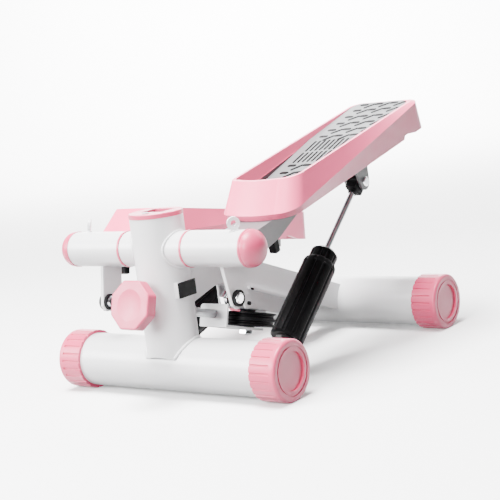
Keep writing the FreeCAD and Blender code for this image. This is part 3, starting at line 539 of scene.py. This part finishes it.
def raised_mark(side, start, end, width):
    """One raised mark with round ends, between two (x, u) points on the pad."""
    length = math.hypot(end[0] - start[0], end[1] - start[1])
    step_x, step_u = (end[0] - start[0]) / length, (end[1] - start[1]) / length
    outline = []
    for centre, first_angle in ((end, -90.0), (start, 90.0)):
        for angle in spaced(first_angle, first_angle + 180.0, 7):
            along = math.cos(math.radians(angle)) * width / 2
            across = math.sin(math.radians(angle)) * width / 2
            outline.append((centre[0] + along * step_x - across * step_u,
                            centre[1] + along * step_u + across * step_x))
    middle_x, middle_u = (start[0] + end[0]) / 2, (start[1] + end[1]) / 2
    rings = []
    for scale, rise in ((1.0, -MARK_SINK), (1.0, MARK_HEIGHT * 0.6), (MARK_TOP, MARK_HEIGHT)):
        ring = []
        for x, u in outline:
            scaled_u = middle_u + (u - middle_u) * scale
            ring.append(pedal_point(side, middle_x + (x - middle_x) * scale, scaled_u,
                                    pad_surface(scaled_u) + rise))
        rings.append(ring)
    return skin(rings)


def check_mark(side, x, u):
    """A short dash with a slanted one beside it, as on tread plate."""
    dash = raised_mark(side, (x - DASH_HALF, u), (x + DASH_HALF, u), DASH_WIDTH)
    tail = raised_mark(side, (x + TAIL_START[0], u + TAIL_START[1]),
                       (x + TAIL_END[0], u + TAIL_END[1]), TAIL_WIDTH)
    return [dash, tail]


def stripe_band(side, start, length):
    """Lengthwise stripes side by side."""
    shapes = []
    for k in range(STRIPES):
        x, u = STRIPE_X + STRIPE_PITCH * k, start + STRIPE_LEAD * k
        shapes.append(raised_mark(side, (x, u), (x, u + length), STRIPE_WIDTH))
    return shapes


def add_pad_marks():
    for side in SIDES:
        shapes = []
        for u in REAR_ROWS + FRONT_ROWS:
            for x in MARK_X:
                shapes += check_mark(side, x, u)
        for start, length in STRIPE_BANDS:
            shapes += stripe_band(side, start, length)
        make_piece(side + "_pad_marks", join_shapes(shapes), "black_rubber",
                   side + "_pedal", smooth=False)


# ---------------------------------------------------------------- damper shoulders

DAMPER_X = 0.087
DAMPER_FOOT_Y, DAMPER_FOOT_Z = -0.078, 0.027
DAMPER_TOP_U, DAMPER_TOP_W = 0.2701, -0.0279
SHOULDER = ((0.1235, 0.0190), (0.1242, 0.01962), (0.1275, 0.01966), (0.1296, 0.01925),
            (0.1312, 0.0183), (0.1322, 0.0171), (0.1326, 0.0158))     # along, radius
SHOULDER_BORE = 0.0150            # hidden inside the cover
BORE_LENGTH = (0.1300, 0.1245)
FLUTES = 10
FLUTE_DEPTH = 0.0009


def damper_shoulder(side):
    """Fluted, rounded shoulder where a damper's cover narrows to its head."""
    foot = Vector((DAMPER_X if side == "right" else -DAMPER_X, DAMPER_FOOT_Y, DAMPER_FOOT_Z))
    top = pedal_point(side, DAMPER_X, DAMPER_TOP_U, DAMPER_TOP_W)
    along = (top - foot).normalized()
    first = Vector((1, 0, 0))
    second = first.cross(along)
    profile = [(height, radius, FLUTE_DEPTH) for height, radius in SHOULDER]
    profile += [(height, SHOULDER_BORE, 0.0) for height in BORE_LENGTH]
    rings = []
    for height, radius, depth in profile:
        ring = []
        for turn in full_turn(120):
            reach = radius - depth * max(0.0, math.cos(FLUTES * turn)) ** 3
            ring.append(foot + height * along
                        + reach * (math.cos(turn) * first + math.sin(turn) * second))
        rings.append(ring)
    return skin(rings, closed=True)


def add_damper_shoulders():
    for side in SIDES:
        make_piece(side + "_damper_shoulder", damper_shoulder(side), "black_rubber",
                   side + "_damper_body")


# ---------------------------------------------------------------- a plug and a painted gap shadow on each side plate

SIDE_MARK_TILT = -21.0                 # the side plates fall towards the rear by this much
SIDE_MARK_SINK, SIDE_MARK_DEPTH = 0.0006, 0.0012
SIDE_MARK_TOP = 0.86                   # size of a mark's face against its foot
SIDE_MARK_ROUNDNESS = 0.6              # 1 is an ellipse, less is squarer
# The first row is a black plug. The second row is painted shade: a small black oval that stands
# for the shadowed gap between the lever and the beam's lip.
PLUGS_AND_GAP_SHADE = ((0.0195, -0.0325, 0.0762, 0.0034, 0.0022),     # x, y, z, half length, half height
         (0.0240, -0.0290, 0.0925, 0.0026, 0.0013))


def squarer(value):
    return math.copysign(abs(value) ** SIDE_MARK_ROUNDNESS, value)


def rounded_dark_mark(sign, x, y, z, half_length, half_height):
    """A flat dark mark with round corners, standing proud of a face square to X."""
    tilt = math.radians(SIDE_MARK_TILT)
    outline = []
    for turn in full_turn(28):
        along = half_length * squarer(math.cos(turn))
        rise = half_height * squarer(math.sin(turn))
        outline.append((along * math.cos(tilt) - rise * math.sin(tilt),
                        along * math.sin(tilt) + rise * math.cos(tilt)))
    rings = []
    for scale, out in ((1.0, -SIDE_MARK_SINK), (1.0, SIDE_MARK_DEPTH * 0.6), (SIDE_MARK_TOP, SIDE_MARK_DEPTH)):
        rings.append([Vector((sign * (x + out), y + off_y * scale, z + off_z * scale))
                      for off_y, off_z in outline])
    return skin(rings)


def add_plugs_and_gap_shade():
    shapes = [rounded_dark_mark(sign, *plug) for sign in (1, -1) for plug in PLUGS_AND_GAP_SHADE]
    # Each side gets the plug and the painted gap shadow.
    make_piece("side_plate_plugs_and_gap_shade", join_shapes(shapes), "black_plastic")


# ---------------------------------------------------------------- floor and light

SHEET_START, SHEET_FLAT = -6.0, 3.0     # ends of the flat part, away from the camera
SHEET_CURVE = 2.0
SHEET_TOP = 7.0
SHEET_HALF_WIDTH = 9.0

WORLD_STRENGTH = 0.33
LIGHTS = (                        # name, place, target, size, watts
    ("top", (-0.1, -0.5, 2.3), (0, 0, 0.1), 1.2, 340),
    ("key", (-1.5, -1.7, 1.0), (0, 0, 0.12), 0.9, 115),
    ("front", (0.45, -2.7, 1.25), (0, 0, 0.12), 1.0, 135),
    ("fill", (2.4, -1.2, 0.7), (0, 0, 0.12), 1.4, 3),
    ("rim", (0.6, 2.2, 1.6), (0, 0, 0.2), 1.4, 40),
    ("backdrop", (-1.6, 2.4, 2.6), (-2.6, 4.2, 1.0), 2.2, 1100),
)


def add_stage():
    """A pale sheet that runs flat under the machine, then curves up behind it."""
    profile = [(SHEET_START, 0.0)]
    for turn in spaced(0.0, math.pi / 2, 17):
        profile.append((SHEET_FLAT + SHEET_CURVE * math.sin(turn),
                        SHEET_CURVE - SHEET_CURVE * math.cos(turn)))
    profile.append((SHEET_FLAT + SHEET_CURVE, SHEET_TOP))
    heading = math.radians(CAMERA_YAW)
    away = Vector((-math.sin(heading), math.cos(heading), 0))
    across = Vector((math.cos(heading), math.sin(heading), 0))
    points, faces = [], []
    for distance, height in profile:
        for side in (-SHEET_HALF_WIDTH, SHEET_HALF_WIDTH):
            points.append(tuple(away * distance + across * side + Vector((0, 0, height))))
    for k in range(len(profile) - 1):
        faces.append((2 * k, 2 * k + 1, 2 * k + 3, 2 * k + 2))
    mesh = bpy.data.meshes.new("backdrop")
    mesh.from_pydata(points, [], faces)
    for face in mesh.polygons:
        face.use_smooth = True
    mesh.materials.append(paper("backdrop_paper"))
    floor = bpy.data.objects.new("backdrop", mesh)
    bpy.context.scene.collection.objects.link(floor)
    floor.visible_diffuse = False


def light_studio():
    world = bpy.data.worlds.new("studio")
    world.use_nodes = True
    background = world.node_tree.nodes["Background"]
    background.inputs["Color"].default_value = (1.0, 1.0, 1.0, 1)
    background.inputs["Strength"].default_value = WORLD_STRENGTH
    bpy.context.scene.world = world
    for name, place, target, size, watts in LIGHTS:
        data = bpy.data.lights.new(name, "AREA")
        data.energy, data.size = watts, size
        light = bpy.data.objects.new(name, data)
        light.location = place
        aim = Vector(target) - Vector(place)
        light.rotation_euler = aim.to_track_quat("-Z", "Y").to_euler()
        bpy.context.scene.collection.objects.link(light)


aim_camera()
dress_nodes()
add_frame_welds()
add_pedal_welds()
add_well_shade_strips()
add_pad_marks()
add_damper_shoulders()
add_plugs_and_gap_shade()
add_stage()
light_studio()

bpy.context.view_layer.update()
